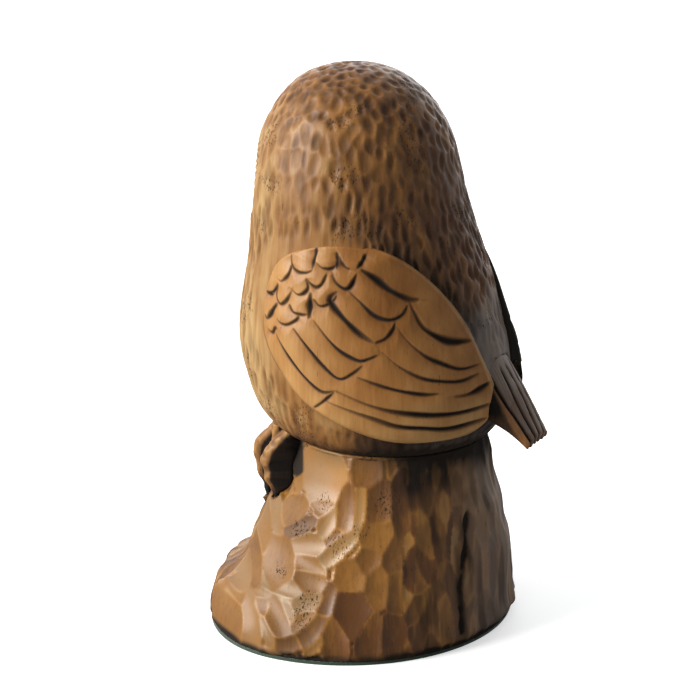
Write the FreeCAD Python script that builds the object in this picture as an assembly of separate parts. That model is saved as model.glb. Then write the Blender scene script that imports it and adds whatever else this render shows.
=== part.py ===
import FreeCAD, Part

import math
import os

from FreeCAD import Vector

# Carved wooden owl figurine: an owl perched on a tree stump.
#
# The owl is built from pieces that are carved apart and then glued: the head and body in one
# block, two applied wing panels, a tail with a tenon, two feet, a beak with a tenon and two
# glass eyes.  Two dowels hold the body to the stump, and a felt pad covers the stump's foot.
#
# Millimetres.  +Z is up, the owl faces -Y and its left side is +X.  The origin lies on the
# resting face of the felt, where the middle plane crosses the stump's widest line.

# ---------------------------------------------------------------- driving dimensions
TOTAL_HEIGHT = 200.0
PERCH_HEIGHT = 69.0          # top of the stump, where the body stands

FELT_THICKNESS = 1.2
FELT_INSET = 0.4             # the felt ends this far inside the stump's lowest outline

WING_TURN = 27.0             # degrees that the wing's drawing plane turns towards the back

EYE_RADIUS = 6.8
EYE_SOCKET_DEPTH = 4.0
EYE_DOME = 2.6               # how far the glass stands out of its socket
EYE_SPACING = 28.0
EYE_HEIGHT = 163.0
EYE_TURN = 20.0              # degrees that each eye looks away from straight ahead
EYE_FACE = 30.5              # from the turning centre of the eyes out to the dished face
EYE_CENTRE_Y = 1.0

DISC_RADIUS = 17.5           # the dished facial discs round the eyes
DISC_DISH_RADIUS = 62.0

DOWEL_RADIUS = 4.0
DOWEL_LENGTH = 36.0
DOWEL_SPACING = 24.0

INSTEP_PLACE = (15.0, -16.5)  # x and y of the middle of the left foot's instep
INSTEP_WIDTH = 24.0
INSTEP_DEPTH = 12.0
INSTEP_HEIGHTS = (65.5, 72.5)

SECTION_POINTS = 32

# Level outlines as (height, centre y, half width, reach to the front, reach to the back).
STUMP_SECTIONS = [
    (FELT_THICKNESS, 0.0, 62.2, 49.2, 59.6),
    (5.0, 0.0, 62.5, 49.4, 61.8),
    (11.0, 0.8, 60.7, 49.8, 60.0),
    (15.5, 2.3, 58.2, 49.2, 58.3),
    (18.5, 3.4, 56.6, 45.4, 56.9),
    (22.5, 4.9, 54.4, 42.4, 55.2),
    (30.0, 7.8, 50.5, 42.8, 51.9),
    (37.0, 10.1, 47.3, 42.3, 47.7),
    (43.0, 11.9, 45.0, 42.0, 45.2),
    (49.0, 13.5, 42.8, 36.8, 42.0),
    (57.0, 15.2, 40.5, 34.6, 38.2),
    (PERCH_HEIGHT, 17.0, 38.0, 34.9, 34.0),
]
BODY_SECTIONS = [
    (PERCH_HEIGHT, 17.0, 36.8, 34.8, 33.5),
    (73.5, 14.3, 41.2, 42.3, 40.5),
    (80.0, 12.0, 43.5, 45.8, 45.8),
    (92.0, 9.0, 45.0, 47.4, 50.4),
    (104.0, 7.5, 45.0, 48.0, 50.0),
    (116.0, 6.5, 44.5, 46.0, 47.5),
    (127.0, 5.5, 43.0, 43.0, 45.5),
    (139.0, 4.5, 41.5, 40.3, 42.0),
    (151.0, 3.5, 40.5, 38.4, 38.5),
    (162.0, 2.5, 39.0, 36.8, 36.5),
    (174.0, 2.0, 35.7, 34.0, 33.7),
    (185.0, 1.5, 30.2, 28.6, 28.6),
    (193.0, 1.0, 22.6, 21.5, 21.5),
    (198.3, 1.0, 12.0, 11.5, 11.5),
]

# How far the wing panels stand off the body, as (height, at the front, at the side, at the back).
WING_THICKNESS = [
    (PERCH_HEIGHT, 1.6, 3.0, 3.8),
    (92.0, 1.6, 3.0, 3.8),
    (107.0, 1.6, 2.8, 2.9),
    (116.0, 1.5, 2.5, 1.8),
    (127.0, 1.4, 2.2, 1.1),
    (TOTAL_HEIGHT, 1.4, 2.0, 1.1),
]

# The wing's outline in its drawing plane, as (distance towards the back, height).
WING_OUTLINE = [
    (-25.0, 138.0), (-13.0, 142.5), (2.0, 143.0), (15.0, 138.5), (28.0, 128.5), (38.5, 115.0),
    (46.0, 99.5), (49.5, 87.0), (45.0, 79.5), (31.0, 76.0), (14.0, 76.5), (-4.0, 82.0),
    (-20.0, 91.5), (-30.0, 105.0), (-32.5, 119.0), (-30.5, 130.0),
]

# The tail as (top y, top z, underside y, underside z, width, crown), from tenon to tip.
# The crown is how far its edges lie below its middle.
TAIL_SECTIONS = [
    (46.0, 108.0, 38.0, 88.0, 18.0, 1.6),
    (57.6, 101.0, 46.0, 84.0, 27.0, 3.2),
    (63.6, 91.8, 57.8, 80.2, 26.5, 2.8),
    (69.0, 82.4, 66.0, 76.2, 23.0, 1.9),
    (73.4, 74.4, 72.2, 70.6, 19.0, 1.1),
]

# One toe as (height, how far behind its knuckle's front, radius), from the belly to the claw.
KNUCKLE_HEIGHT = 57.0
TOE_STATIONS = [
    (73.5, 11.5, 3.4),
    (69.5, 7.6, 3.9),
    (65.5, 3.4, 4.2),
    (61.5, 0.5, 4.3),
    (KNUCKLE_HEIGHT, 0.0, 4.0),
    (53.5, 1.0, 3.3),
    (50.5, 1.0, 3.3),
    (47.5, 2.8, 2.6),
    (44.5, 4.0, 1.9),
    (41.5, 4.8, 1.4),
    (38.0, 7.0, 0.5),
]
# Inner, middle and outer toe as (x of the root, front y of the knuckle, share of the drop below it).
TOES = [
    (6.0, -34.2, 0.92),
    (15.6, -32.4, 1.0),
    (25.0, -23.4, 0.72),
]
TOE_SPLAY = (-1.0, 0.0, 1.5)     # how far each claw leans sideways

# The hollow gouged beside each outer toe as (height, x, y, half width, half depth).
HOLLOW_STATIONS = [
    (43.5, 32.0, -26.0, 1.5, 3.0),
    (50.0, 31.5, -19.0, 5.5, 7.5),
    (60.0, 31.0, -15.5, 6.5, 9.0),
    (71.0, 30.5, -13.0, 6.5, 9.0),
]

# The beak as (height, half width, front y), from the bridge down to the hooked tip.
BEAK_STATIONS = [
    (161.0, 1.2, -35.4),
    (157.0, 3.6, -37.2),
    (152.0, 4.6, -39.0),
    (147.0, 3.6, -39.6),
    (142.5, 1.2, -38.8),
]
BEAK_BACK_Y = -32.5


# ---------------------------------------------------------------- helpers
def closed_spline(points):
    """A closed smooth wire through the points."""
    curve = Part.BSplineCurve()
    curve.interpolate(Points=points, PeriodicFlag=True)
    return Part.Wire([curve.toShape()])


def loft(sections):
    """A smooth solid through the sections; the low degree keeps it from swinging between them."""
    return Part.makeLoft(sections, True, False, False, 2)


def level_outline(section, growth=(0.0, 0.0, 0.0)):
    """The level outline of a section: half an ellipse to the front and half to the back.

    growth says how far it is grown at the front, at the sides and at the back.
    """
    height, centre, half_width, front_reach, back_reach = section
    front, side, back = growth
    points = []
    for k in range(SECTION_POINTS):
        angle = 2 * math.pi * k / SECTION_POINTS
        reach = back_reach + back if math.sin(angle) > 0 else front_reach + front
        x = (half_width + side) * math.cos(angle)
        points.append(Vector(x, centre + reach * math.sin(angle), height))
    return closed_spline(points)


def row_at(rows, height):
    """The row for a height, between the two stated ones."""
    for low, high in zip(rows, rows[1:]):
        if low[0] <= height <= high[0]:
            share = (height - low[0]) / (high[0] - low[0])
            return [a + share * (b - a) for a, b in zip(low, high)]
    return list(rows[-1] if height > rows[-1][0] else rows[0])


def body_loft(grown):
    """The head and body as one smooth solid, or the same grown by the wings' thickness."""
    wires = []
    for section in BODY_SECTIONS:
        growth = row_at(WING_THICKNESS, section[0])[1:] if grown else (0.0, 0.0, 0.0)
        wires.append(level_outline(section, growth))
    crown_height = TOTAL_HEIGHT + (1.0 if grown else 0.0)
    crown = Part.Vertex(Vector(0, BODY_SECTIONS[-1][1], crown_height))
    return loft(wires + [crown])


def mirrored(shape):
    """The same piece for the owl's right side."""
    return shape.mirror(Vector(0, 0, 0), Vector(1, 0, 0))


# ---------------------------------------------------------------- pieces
def make_stump():
    return loft([level_outline(s) for s in STUMP_SECTIONS])


def make_felt():
    lowest = STUMP_SECTIONS[0]
    wire = level_outline((0.0,) + lowest[1:], (-FELT_INSET, -FELT_INSET, -FELT_INSET))
    return Part.Face(wire).extrude(Vector(0, 0, FELT_THICKNESS))


def make_dowels():
    middle = BODY_SECTIONS[0][1]
    bottom = PERCH_HEIGHT - DOWEL_LENGTH / 2
    places = [middle - DOWEL_SPACING / 2, middle + DOWEL_SPACING / 2]
    dowels = [Part.makeCylinder(DOWEL_RADIUS, DOWEL_LENGTH, Vector(0, y, bottom)) for y in places]
    return Part.Compound(dowels)


def make_left_wing(body):
    """The panel between the body's skin and the grown skin, inside the wing's outline."""
    turn = math.radians(WING_TURN)
    outward = Vector(math.cos(turn), math.sin(turn), 0)
    backward = Vector(-math.sin(turn), math.cos(turn), 0)
    start = outward * 8.0
    points = [start + backward * u + Vector(0, 0, z) for u, z in WING_OUTLINE]
    prism = Part.Face(closed_spline(points)).extrude(outward * 80.0)
    return body_loft(True).common(prism).cut(body)


def make_tail():
    """A fan of tail feathers in one piece, crowned across, with its tenon inside the body."""
    wires = []
    for top_y, top_z, low_y, low_z, width, crown in TAIL_SECTIONS:
        middle = Vector(0, (top_y + low_y) / 2, (top_z + low_z) / 2)
        up = Vector(0, (top_y - low_y) / 2, (top_z - low_z) / 2)
        drop = up * (crown / up.Length)
        points = []
        for k in range(SECTION_POINTS):
            angle = 2 * math.pi * k / SECTION_POINTS
            c, s = math.cos(angle), math.sin(angle)
            across = math.copysign(abs(c) ** 0.7, c)
            rise = math.copysign(abs(s) ** 0.8, s)
            point = middle + up * rise - drop * across ** 2
            points.append(point + Vector(across * width / 2, 0, 0))
        wires.append(closed_spline(points))
    return loft(wires)


def make_toe(root_x, knuckle_y, claw_share, splay):
    """One toe that arches over the stump's edge and grips it with its claw."""
    top = TOE_STATIONS[0][0]
    drop = top - TOE_STATIONS[-1][0]
    wires = []
    for height, behind, radius in TOE_STATIONS:
        x = root_x + splay * (top - height) / drop
        below = min(0.0, height - KNUCKLE_HEIGHT)
        level = height - below * (1 - claw_share)
        place = Vector(x, knuckle_y + behind + radius, level)
        wires.append(Part.Wire([Part.makeCircle(radius, place)]))
    return loft(wires)


def make_left_foot():
    """Three toes, joined under the belly by an instep that is let into body and stump."""
    toes = [make_toe(*toe, splay) for toe, splay in zip(TOES, TOE_SPLAY)]
    low, high = INSTEP_HEIGHTS
    outline = Part.Ellipse(Vector(*INSTEP_PLACE, low), INSTEP_WIDTH / 2, INSTEP_DEPTH / 2)
    instep = Part.Face(Part.Wire([outline.toShape()])).extrude(Vector(0, 0, high - low))
    return instep.multiFuse(toes).removeSplitter()


def make_left_hollow():
    """The tool that gouges the hollow beside the outer toe out of the stump."""
    wires = []
    for height, x, y, half_width, half_depth in HOLLOW_STATIONS:
        ring = []
        for k in range(SECTION_POINTS // 2):
            angle = 4 * math.pi * k / SECTION_POINTS
            edge_x = x + half_width * math.cos(angle)
            edge_y = y + half_depth * math.sin(angle)
            ring.append(Vector(edge_x, edge_y, height))
        wires.append(closed_spline(ring))
    return loft(wires)


def make_left_eye():
    """A glass eye: a round plug with a domed front, turned to look out of its facial disc."""
    dome_radius = (EYE_RADIUS ** 2 + EYE_DOME ** 2) / (2 * EYE_DOME)
    rim = Vector(EYE_RADIUS, 0, 0)
    crest = Vector(0, 0, EYE_DOME)
    half = EYE_RADIUS / 2
    between = Vector(half, 0, math.sqrt(dome_radius ** 2 - half ** 2) - dome_radius + EYE_DOME)
    back = Vector(EYE_RADIUS, 0, -EYE_SOCKET_DEPTH)
    middle = Vector(0, 0, -EYE_SOCKET_DEPTH)
    edges = [
        Part.Arc(crest, between, rim).toShape(),
        Part.LineSegment(rim, back).toShape(),
        Part.LineSegment(back, middle).toShape(),
        Part.LineSegment(middle, crest).toShape(),
    ]
    eye = Part.Face(Part.Wire(edges)).revolve(Vector(0, 0, 0), Vector(0, 0, 1), 360)
    return placed_on_face(eye)


def placed_on_face(shape):
    """Moves a shape that looks along +Z to the left eye's place, looking out of the face."""
    shape = shape.copy()
    turn = math.radians(EYE_TURN)
    look = Vector(math.sin(turn), -math.cos(turn), 0)
    side = EYE_SPACING / 2 - EYE_FACE * math.sin(turn)
    place = Vector(side, EYE_CENTRE_Y, EYE_HEIGHT) + look * EYE_FACE
    shape.Placement = FreeCAD.Placement(place, FreeCAD.Rotation(Vector(0, 0, 1), look))
    return shape


def make_left_dish():
    """The tool that dishes the face round the left eye, and leaves its rim standing."""
    dish = Part.makeSphere(DISC_DISH_RADIUS, Vector(0, 0, DISC_DISH_RADIUS))
    plug = Part.makeCylinder(DISC_RADIUS, 30.0, Vector(0, 0, -5.0))
    return placed_on_face(dish.common(plug))


def make_beak():
    wires = []
    for height, half_width, front_y in BEAK_STATIONS:
        middle = Vector(0, (front_y + BEAK_BACK_Y) / 2, height)
        reach = (BEAK_BACK_Y - front_y) / 2
        ring = []
        for k in range(SECTION_POINTS // 2):
            angle = 2 * math.pi * k / (SECTION_POINTS // 2)
            ring.append(middle + Vector(half_width * math.cos(angle), reach * math.sin(angle), 0))
        wires.append(closed_spline(ring))
    return loft(wires)


# ---------------------------------------------------------------- assembly
def build():
    """Every piece by name, each fitted into its neighbours with nothing overlapping."""
    dowels = make_dowels()
    left_foot = make_left_foot()
    feet = [left_foot, mirrored(left_foot)]
    tail = make_tail()
    beak = make_beak()
    left_eye = make_left_eye()
    eyes = [left_eye, mirrored(left_eye)]
    left_dish = make_left_dish()
    left_hollow = make_left_hollow()
    skin = body_loft(False)
    left_wing = make_left_wing(skin)
    left_wing = left_wing.cut(tail)
    body = skin.cut([left_dish, mirrored(left_dish)])
    body = body.cut(eyes + [beak, tail, dowels] + feet)
    stump = make_stump().cut([dowels, left_hollow, mirrored(left_hollow)] + feet)
    return {
        "stump": stump,
        "felt_pad": make_felt(),
        "body": body,
        "left_wing": left_wing,
        "right_wing": mirrored(left_wing),
        "tail": tail,
        "left_foot": feet[0],
        "right_foot": feet[1],
        "beak": beak,
        "left_eye": eyes[0],
        "right_eye": eyes[1],
        "body_dowels": dowels,
    }


def main():
    os.makedirs("parts", exist_ok=True)
    for name, shape in build().items():
        solids = shape.Solids
        piece = solids[0] if len(solids) == 1 else Part.Compound(solids)
        piece.exportStep(os.path.join("parts", name + ".step"))
        box = piece.BoundBox
        print(
            f"{name}: {len(solids)} solid, valid {piece.isValid()}, {piece.Volume / 1000:.1f} cm3, "
            f"x {box.XMin:.1f} to {box.XMax:.1f}, y {box.YMin:.1f} to {box.YMax:.1f}, "
            f"z {box.ZMin:.1f} to {box.ZMax:.1f}"
        )


main()
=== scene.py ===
import math
import random

import bpy
import numpy as np
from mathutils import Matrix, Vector, noise
from mathutils.bvhtree import BVHTree
from mathutils.kdtree import KDTree


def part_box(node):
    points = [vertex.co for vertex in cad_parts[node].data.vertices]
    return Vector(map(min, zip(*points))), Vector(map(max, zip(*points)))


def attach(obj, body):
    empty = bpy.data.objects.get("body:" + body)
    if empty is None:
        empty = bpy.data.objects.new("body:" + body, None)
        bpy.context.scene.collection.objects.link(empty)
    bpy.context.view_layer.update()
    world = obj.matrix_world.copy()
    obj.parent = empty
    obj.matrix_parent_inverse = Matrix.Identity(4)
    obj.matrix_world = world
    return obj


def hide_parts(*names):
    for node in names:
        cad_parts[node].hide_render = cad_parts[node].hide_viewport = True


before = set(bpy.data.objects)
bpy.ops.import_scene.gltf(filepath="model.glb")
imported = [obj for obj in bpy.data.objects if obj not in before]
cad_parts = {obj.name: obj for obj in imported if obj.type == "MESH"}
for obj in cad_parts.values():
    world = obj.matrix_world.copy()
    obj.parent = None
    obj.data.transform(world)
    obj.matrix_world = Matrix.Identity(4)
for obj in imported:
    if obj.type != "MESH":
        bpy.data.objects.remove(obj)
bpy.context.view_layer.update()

# The looks of a carved wooden owl figurine that stands on a tree stump.
#
# Every carved piece is a fine, even copy of its CAD node with the tool marks cut into it.  Only
# the fillet above the tail and the webs between the toes swell outwards.  Lengths are written in
# millimetres and turned into metres by MM; the materials and the room are in metres.  The owl
# faces -Y, its left side is +X, and each wing is drawn in an upright plane that turns towards
# the back: u is the distance towards the back in that plane, and z is the height.

MM = 0.001
WING_TURN = math.radians(27)
PERCH_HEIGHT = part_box("body")[0].z / MM


# -------- meshes
def placed(name, data):
    """A new object in the scene that shows the data."""
    made = bpy.data.objects.new(name, data)
    bpy.context.scene.collection.objects.link(made)
    return made


def smoothed(points, edges, rounds):
    """The points after each has moved halfway to the middle of its neighbours, some rounds long."""
    first, second = edges[:, 0], edges[:, 1]
    count = np.bincount(edges.ravel(), minlength=len(points))[:, None]
    for _ in range(rounds):
        total = np.empty_like(points)
        for axis in range(points.shape[1]):
            total[:, axis] = np.bincount(first, points[second, axis], len(points))
            total[:, axis] += np.bincount(second, points[first, axis], len(points))
        points = points + 0.5 * (total / count - points)
    return points


def read_vectors(mesh, kind):
    vectors = np.empty(len(mesh.vertices) * 3)
    mesh.vertices.foreach_get(kind, vectors)
    return vectors.reshape(-1, 3)


def read_points(mesh):
    return read_vectors(mesh, "co") / MM


def read_edges(mesh):
    edges = np.empty(len(mesh.edges) * 2, dtype=np.int32)
    mesh.edges.foreach_get("vertices", edges)
    return edges.reshape(-1, 2)


def write_points(mesh, points):
    mesh.vertices.foreach_set("co", (points * MM).ravel())
    mesh.update()


def write_value(mesh, name, values):
    """Stores one number per vertex, which the materials read by its name."""
    layer = mesh.attributes.new(name, "FLOAT", "POINT")
    layer.data.foreach_set("value", np.clip(values, 0, 1).astype(np.float32))


def blurred(values, edges, rounds):
    """The values after each has been evened out with its neighbours, some rounds long."""
    return smoothed(values[:, None], edges, rounds)[:, 0]


def nearest_on(node, points):
    """For each point, in millimetres: the nearest place on a CAD node, and the way out there."""
    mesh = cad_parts[node].data
    skin = BVHTree.FromPolygons([v.co for v in mesh.vertices], [p.vertices for p in mesh.polygons])
    places = np.empty_like(points)
    outward = np.empty_like(points)
    for k, point in enumerate(points):
        place, normal, _, _ = skin.find_nearest(Vector(point * MM))
        places[k] = place / MM
        outward[k] = normal
    return places, outward


def shade_smooth(mesh):
    for polygon in mesh.polygons:
        polygon.use_smooth = True


class Carving:
    """A fine, even copy of a CAD node, and the cuts and colours that are put on it."""

    def __init__(self, name, node, voxel, rounds=3):
        self.node = node
        self.object = placed(name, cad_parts[node].data.copy())
        remesh = self.object.modifiers.new("even", "REMESH")
        remesh.mode = "VOXEL"
        remesh.voxel_size = voxel * MM
        graph = bpy.context.evaluated_depsgraph_get()
        mesh = bpy.data.meshes.new_from_object(self.object.evaluated_get(graph))
        self.object.modifiers.clear()
        self.object.data = mesh
        mesh.name = name
        mesh.materials.clear()
        self.mesh = mesh
        self.edges = read_edges(mesh)
        self.points = nearest_on(node, read_points(mesh))[0]
        self.points = smoothed(self.points, self.edges, rounds)
        write_points(mesh, self.points)
        self.normals = read_vectors(mesh, "normal")
        self.depth, self.dark, self.worn, self.painted_sheen = np.zeros((4, len(self.points)))
        self.tone = np.full(len(self.points), 0.5)

    def finish(self, slot):
        """Cuts the depths into the copy and hands it over as the node's visible piece."""
        write_points(self.mesh, self.points - self.normals * self.depth[:, None])
        for name in ("dark", "tone", "worn", "painted_sheen"):
            write_value(self.mesh, name, getattr(self, name))
        shade_smooth(self.mesh)
        self.mesh.materials.append(WOODS[slot])
        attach(self.object, "root")
        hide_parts(self.node)


def ramp(value, low, high):
    """0 below low, 1 above high, and a smooth rise between them."""
    share = np.clip((value - low) / (high - low), 0, 1)
    return share * share * (3 - 2 * share)


def fall(value, low, high):
    """1 below low, 0 above high, and a smooth fall between them."""
    return 1 - ramp(value, low, high)


def above_skin(node, points):
    """The nearest place on a CAD node, the way out there, and how far out each point lies."""
    skin, outward = nearest_on(node, points)
    return skin, outward, np.sum((points - skin) * outward, axis=1)


def wing_plane(x, y):
    """u of each place in the left wing's drawing plane, and how far out of that plane it lies.

    With x made positive, the right side is drawn in its own wing's plane in the same way.
    """
    u = y * math.cos(WING_TURN) - x * math.sin(WING_TURN)
    out = y * math.sin(WING_TURN) + x * math.cos(WING_TURN)
    return u, out


def smooth_line(points, closed=False, steps=6):
    """A smooth line through the points, as an array of short steps."""
    rows = np.array(points, dtype=float)
    if closed:
        rows = np.vstack([rows[-1:], rows, rows[:2]])
    else:
        rows = np.vstack([2 * rows[0] - rows[1], rows, 2 * rows[-1] - rows[-2]])
    line = []
    for a, b, c, d in zip(rows, rows[1:], rows[2:], rows[3:]):
        for step in range(steps):
            t = step / steps
            bend = 2 * a - 5 * b + 4 * c - d
            twist = 3 * (b - c) + d - a
            line.append(0.5 * (2 * b + (c - a) * t + bend * t ** 2 + twist * t ** 3))
    line.append(rows[-2])
    return np.array(line)


def line_distance(line, x, y):
    """For each point: how far the line is, how far along it, 0 to 1, and on which side."""
    best = np.full(len(x), 1e9)
    along = np.zeros(len(x))
    side = np.zeros(len(x))
    lengths = np.hypot(*np.diff(line, axis=0).T)
    starts = np.concatenate([[0], np.cumsum(lengths)])
    for k, length in enumerate(lengths):
        step = (line[k + 1] - line[k]) / max(length, 1e-6)
        from_x, from_y = x - line[k, 0], y - line[k, 1]
        run = np.clip(from_x * step[0] + from_y * step[1], 0, length)
        gap = np.hypot(from_x - run * step[0], from_y - run * step[1])
        closer = gap < best
        best[closer] = gap[closer]
        along[closer] = (starts[k] + run[closer]) / starts[-1]
        side[closer] = (step[0] * from_y - step[1] * from_x)[closer]
    return best, along, np.sign(side)


def inside(outline, x, y):
    """Which points lie inside the closed outline."""
    within = np.zeros(len(x), dtype=bool)
    for (ax, ay), (bx, by) in zip(outline, np.roll(outline, -1, axis=0)):
        if ay == by:
            continue
        crosses = (ay > y) != (by > y)
        within ^= crosses & (x < ax + (y - ay) * (bx - ax) / (by - ay))
    return within


# -------- places on the face
EYE_TURN = math.radians(20)  # each eye looks this far away from straight ahead


def eye_frame(side):
    """The foremost point of an eye, the way it looks, the level direction across it: in metres."""
    sign = 1.0 if side == "left" else -1.0
    look = Vector((sign * math.sin(EYE_TURN), -math.cos(EYE_TURN), 0))
    across = Vector((math.cos(EYE_TURN), sign * math.sin(EYE_TURN), 0))
    spots = [v.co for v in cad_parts[side + "_eye"].data.vertices]
    crest = max(spots, key=lambda spot: spot.dot(look))
    return crest.copy(), look, across


# -------- gouge marks
def spread_seeds(points, spacing, chance):
    """Numbers of points, picked at random, that are at least a spacing apart."""
    cells = {}
    chosen = []
    order = np.random.RandomState(chance).permutation(len(points))
    keys = np.floor(points / spacing).astype(int)
    near = [(i, j, k) for i in (-1, 0, 1) for j in (-1, 0, 1) for k in (-1, 0, 1)]
    for index in order:
        a, b, c = keys[index]
        rivals = [other for i, j, k in near for other in cells.get((a + i, b + j, c + k), ())]
        gaps = points[rivals] - points[index]
        if not rivals or np.min(np.sum(gaps ** 2, axis=1)) >= spacing ** 2:
            cells.setdefault((a, b, c), []).append(index)
            chosen.append(index)
    return np.array(chosen)


MARK_SIZES = (0.75, 1.3)  # the smallest and largest mark, in shares of the usual size
MARK_WAVER = 0.16  # how far the marks' edges waver, in shares of their spacing


def gouge_pattern(points, spacing, stretch, chance):
    """The mark that each point lies in: its number, how far off its middle is, and which way up.

    Distances are in units of the spacing, with heights squeezed by the stretch.  Some marks are
    larger than others and crowd them out.
    """
    squeezed = points * np.array([1, 1, 1 / stretch])
    seeds = spread_seeds(squeezed, spacing, chance)
    tree = KDTree(len(seeds))
    for number, seed in enumerate(seeds):
        tree.insert(Vector(squeezed[seed]), number)
    tree.balance()
    sizes = np.random.RandomState(chance + 1).uniform(*MARK_SIZES, len(seeds))
    waver = np.sin(points[:, [2, 0, 1]] * (2.1 / spacing))
    marks = np.empty(len(points), dtype=int)
    gaps = np.empty(len(points))
    for k, place in enumerate(squeezed + MARK_WAVER * spacing * waver):
        found = [(gap / sizes[number], number) for _, number, gap in tree.find_n(Vector(place), 4)]
        gaps[k], marks[k] = min(found)
    above = (points[:, 2] - points[seeds[marks], 2]) / (spacing * stretch)
    return marks, gaps / spacing, above


def patches(points, size, shift):
    """A slow, random rise and fall over the points, from 0 to 1, in patches of about that size."""
    spots = points / size + shift
    return np.array([0.5 + 0.5 * noise.noise(Vector(spot)) for spot in spots])


# -------- materials
# The mix node's colour sockets share their names with others, so they go by their numbers.
MIX_SHARE, MIX_FIRST, MIX_SECOND, MIX_RESULT = 0, 6, 7, 2


class Nodes:
    """Builds the nodes of one procedural material or backdrop."""

    def __init__(self, owner, output="ShaderNodeOutputMaterial"):
        self.owner = owner
        owner.use_nodes = True
        self.tree = owner.node_tree
        self.tree.nodes.clear()
        self.output = self.tree.nodes.new(output)

    def node(self, kind, inputs=None, **settings):
        """A node with its settings, whose inputs are linked, or set when a plain value is given."""
        made = self.tree.nodes.new(kind)
        for name, value in settings.items():
            setattr(made, name, value)
        for name, value in (inputs or {}).items():
            if isinstance(value, bpy.types.NodeSocket):
                self.tree.links.new(value, made.inputs[name])
            else:
                made.inputs[name].default_value = value
        return made

    def noise(self, scale, stretch=(1, 1, 1), detail=3, rough=0.55, warp=0):
        """Random clouds over the object's own space, in metres, scaled along each axis."""
        spot = self.node("ShaderNodeTexCoord").outputs["Object"]
        scaled = self.node("ShaderNodeVectorMath", {0: spot, 1: stretch}, operation="MULTIPLY")
        inputs = {"Scale": scale, "Detail": detail, "Roughness": rough, "Distortion": warp}
        inputs["Vector"] = scaled.outputs[0]
        return self.node("ShaderNodeTexNoise", inputs).outputs["Fac"]

    def value(self, name):
        return self.node("ShaderNodeAttribute", attribute_name=name).outputs["Fac"]

    def span(self, value, low, high, start=0, end=1, **settings):
        """The value from low to high, spread over start to end."""
        inputs = {"Value": value, "From Min": low, "From Max": high, "To Min": start, "To Max": end}
        return self.node("ShaderNodeMapRange", inputs, **settings).outputs["Result"]

    def maths(self, operation, first, second):
        return self.node("ShaderNodeMath", {0: first, 1: second}, operation=operation).outputs[0]

    def mix(self, share, first, second):
        inputs = {MIX_SHARE: share, MIX_FIRST: first, MIX_SECOND: second}
        return self.node("ShaderNodeMix", inputs, data_type="RGBA").outputs[MIX_RESULT]

    def tones(self, value, stops):
        """Colours along a value, given as (place, colour)."""
        made = self.node("ShaderNodeValToRGB", {"Fac": value})
        steps = made.color_ramp.elements
        while len(steps) < len(stops):
            steps.new(0.5)
        for step, (place, colour) in zip(steps, stops):
            step.position = place
            step.color = (*colour, 1)
        return made.outputs["Color"]

    def bump(self, height, distance, strength, under=None):
        inputs = {"Height": height, "Distance": distance, "Strength": strength}
        if under is not None:
            inputs["Normal"] = under
        return self.node("ShaderNodeBump", inputs).outputs["Normal"]

    def show(self, shader, seen=None):
        """Ends in the shader, and in another one where the camera sees the surface directly."""
        if seen is not None:
            path = self.node("ShaderNodeLightPath").outputs["Is Camera Ray"]
            both = {0: path, 1: shader.outputs[0], 2: seen.outputs[0]}
            shader = self.node("ShaderNodeMixShader", both)
        self.tree.links.new(shader.outputs[0], self.output.inputs["Surface"])
        return self.owner

    def finish(self, inputs):
        return self.show(self.node("ShaderNodeBsdfPrincipled", inputs))


def new_material(name):
    return Nodes(bpy.data.materials.new(name))


SHEEN_GREY = (0.25, 0.21, 0.18)  # the grey of the painted sheen, a reflection of the backdrop, on the back, the tail and the stump
CRACK_DARK = 0.45  # how dark the fine upright cracks are
STAIN_AND_SHADE_ROUGHNESS = 0.95
GRAIN_RELIEF = 0.00016
PIT_RELIEF = 0.00025


def carved_wood(name, pale, middle, deep, stain_and_shade, roughness, coat):
    """Varnished, antiqued wood: its tone, its dark staining and painted shade, and its pits follow
    the values carved on it.

    pale, middle and deep are the wood's colours along the carved tone, and the colour after them
    is the one that sits in the cuts and that also paints the shade.
    """
    make = new_material(name)
    grain = make.noise(800, (1, 1, 0.08), detail=4, rough=0.6, warp=0.3)
    cloud = make.noise(55, (1, 1, 0.5), warp=0.5)
    pits = make.noise(1700, (1, 1, 0.5), rough=0.6)
    cracks = make.noise(1900, (1, 1, 0.045), detail=1, rough=0.4)
    tone = make.maths("ADD", make.value("tone"), make.span(cloud, 0.3, 0.7, -0.18, 0.18))
    tone = make.maths("ADD", tone, make.span(grain, 0.3, 0.7, -0.1, 0.1))
    wood = make.tones(tone, [(0, deep), (0.5, middle), (1, pale)])
    # Painted sheen: a grey reflection of the backdrop, mixed into the wood's colour.
    wood = make.mix(make.value("painted_sheen"), wood, (*SHEEN_GREY, 1))
    pit_limit = make.span(make.value("worn"), 0, 1, 0.74, 0.56)
    pitted = make.span(make.maths("SUBTRACT", pits, pit_limit), 0, 0.08, 0, 0.7)
    cracked = make.span(cracks, 0.73, 0.8, 0, CRACK_DARK)
    # The carved dark value holds the stain in the cuts and the painted shade; both take the dark colour.
    dark = make.maths("ADD", make.value("dark"), make.maths("MAXIMUM", pitted, cracked))
    dark = make.maths("ADD", dark, make.span(grain, 0.6, 0.85, 0, 0.22))
    dark = make.node("ShaderNodeClamp", {"Value": dark}).outputs[0]
    relief = make.bump(grain, GRAIN_RELIEF, 0.5)
    relief = make.bump(make.span(pitted, 0, 0.7, 1, 0), PIT_RELIEF, 0.7, relief)
    return make.finish(
        {
            "Base Color": make.mix(dark, wood, (*stain_and_shade, 1)),
            "Roughness": make.span(dark, 0, 1, roughness, STAIN_AND_SHADE_ROUGHNESS),
            "Normal": relief,
            "Coat Weight": make.span(dark, 0, 1, coat, 0),
            "Coat Roughness": 0.32,
            "Specular IOR Level": 0.36,
        }
    )
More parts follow.
